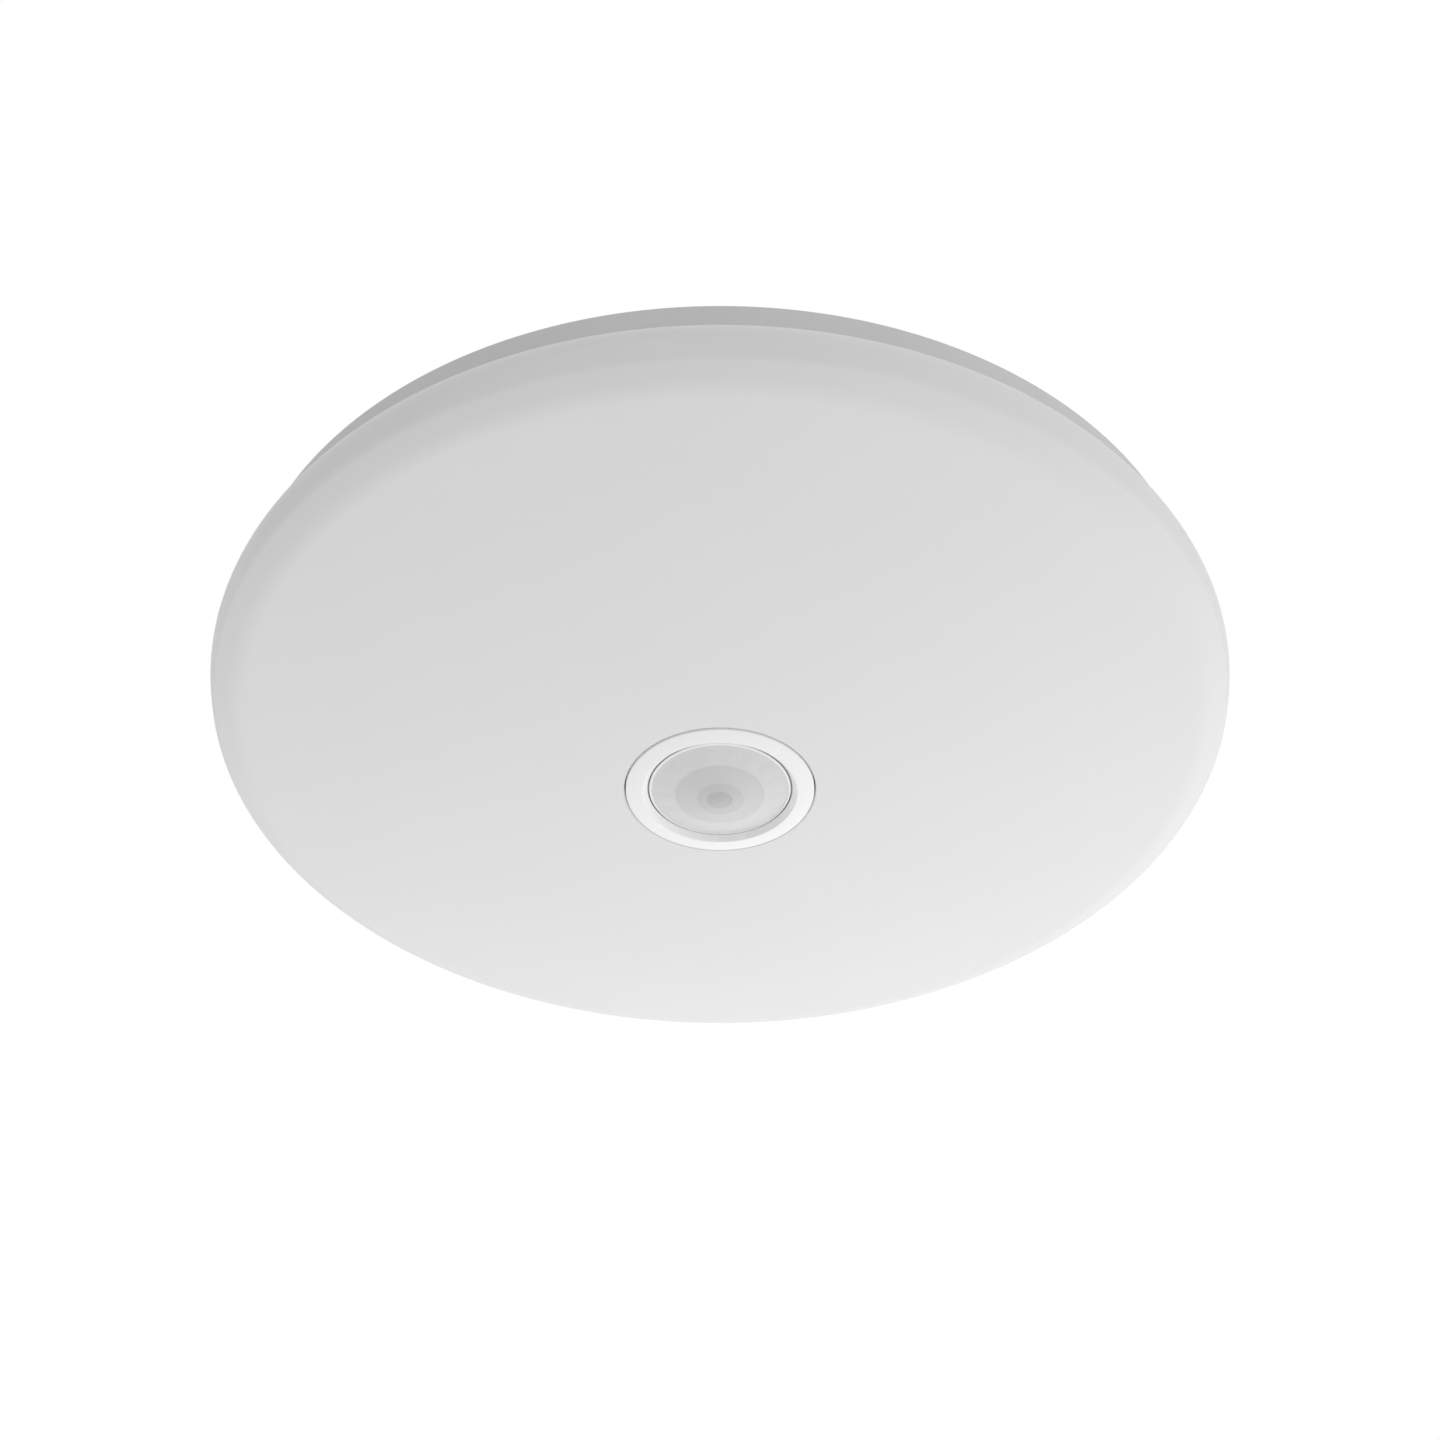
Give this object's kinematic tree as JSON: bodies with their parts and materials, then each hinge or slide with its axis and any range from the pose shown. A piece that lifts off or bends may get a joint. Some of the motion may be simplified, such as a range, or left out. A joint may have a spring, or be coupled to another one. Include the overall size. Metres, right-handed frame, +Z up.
{
  "type": "ceiling light with motion sensor",
  "caption": "Round opal ceiling light with a motion sensor in its middle, on a shallow base with a pull-off diffuser, LED ring, driver and terminals.",
  "frame": {"origin": "centre of the base plate's back face, on the ceiling plane", "axes": "+Z points up into the ceiling, the light hangs towards -Z, the driver is towards +Y and the terminals towards -Y"},
  "size_m": [0.3, 0.3, 0.0551],
  "materials": {
    "base_plastic": "fine moulded texture, satin",
    "case_plastic": "fine moulded texture",
    "opal": "smooth opal, satin",
    "bezel_plastic": "smooth satin",
    "lens_plastic": "milky, with fine ring grooves",
    "steel": "zinc plated",
    "spring_steel": "bright rolled strip",
    "rubber": "matt",
    "terminal_plastic": "satin",
    "button_plastic": "satin",
    "black_plastic": "satin",
    "winding": "taped winding on a ferrite core",
    "board_white": "solder mask",
    "board_green": "solder mask",
    "connector_plastic": "moulded",
    "can_metal": "bright can",
    "detector_window": "dark filter",
    "cell_resin": "coated cell",
    "ribbon": "flat cable",
    "trimmer_plastic": "moulded",
    "dial_plastic": "moulded",
    "lead_brown": "insulation",
    "lead_blue": "insulation",
    "lead_black": "insulation",
    "lead_red": "insulation",
    "lead_white": "insulation"
  },
  "bodies": {
    "base": {"base_plate": "base_plastic", "cable_grommet": "rubber", "terminal_block": "terminal_plastic", "driver_tray": "case_plastic", "driver_board": "board_green", "driver_transformer": "winding", "driver_choke": "black_plastic", "driver_capacitor": "black_plastic", "driver_cover": "case_plastic", "driver_screw_1": "steel", "driver_screw_2": "steel", "led_board": "board_white", "led_connector": "connector_plastic", "led_screw_1": "steel", "led_screw_2": "steel", "led_screw_3": "steel", "led_screw_4": "steel", "led_screw_5": "steel", "led_screw_6": "steel", "sensor_housing": "case_plastic", "sensor_screw_1": "steel", "sensor_screw_2": "steel", "sensor_screw_3": "steel", "sensor_board": "board_green", "pir_detector": "can_metal", "pir_window": "detector_window", "light_sensor": "cell_resin", "sensor_plug": "connector_plastic", "setting_board": "board_green", "setting_ribbon": "ribbon", "lux_trimmer": "trimmer_plastic", "time_trimmer": "trimmer_plastic", "fresnel_lens": "lens_plastic", "bezel_ring": "bezel_plastic", "retaining_clip_1": "spring_steel", "retaining_clip_2": "spring_steel", "retaining_clip_3": "spring_steel", "clip_screw_1": "steel", "clip_screw_2": "steel", "clip_screw_3": "steel", "lead_live": "lead_brown", "lead_neutral": "lead_blue", "lead_switched": "lead_black", "led_lead_positive": "lead_red", "led_lead_negative": "lead_black", "sensor_lead_1": "lead_red", "sensor_lead_2": "lead_black", "sensor_lead_3": "lead_white"},
    "diffuser": {"diffuser": "opal"},
    "lux_dial": {"lux_dial": "dial_plastic"},
    "time_dial": {"time_dial": "dial_plastic"},
    "terminal_button_1": {"terminal_button_1": "button_plastic"},
    "terminal_button_2": {"terminal_button_2": "button_plastic"},
    "terminal_button_3": {"terminal_button_3": "button_plastic"}
  },
  "joints": [
    {"name": "diffuser_pull", "type": "slide", "parent": "base", "child": "diffuser", "axis": [0, 0, -1], "range_m": [0, 0.15]},
    {"name": "terminal_press_1", "type": "slide", "parent": "base", "child": "terminal_button_1", "axis": [0, 0, 1], "range_m": [0, 0.0012], "stiffness_N_per_m": 600, "springref_m": -0.002},
    {"name": "terminal_press_2", "type": "slide", "parent": "base", "child": "terminal_button_2", "axis": [0, 0, 1], "range_m": [0, 0.0012], "stiffness_N_per_m": 600, "springref_m": -0.002},
    {"name": "terminal_press_3", "type": "slide", "parent": "base", "child": "terminal_button_3", "axis": [0, 0, 1], "range_m": [0, 0.0012], "stiffness_N_per_m": 600, "springref_m": -0.002},
    {"name": "lux_turn", "type": "hinge", "parent": "base", "child": "lux_dial", "pos_m": [0.038, 0.007, -0.018], "axis": [0, 0, 1], "range_deg": [0, 270]},
    {"name": "time_turn", "type": "hinge", "parent": "base", "child": "time_dial", "pos_m": [0.038, -0.007, -0.018], "axis": [0, 0, 1], "range_deg": [0, 270]}
  ]
}
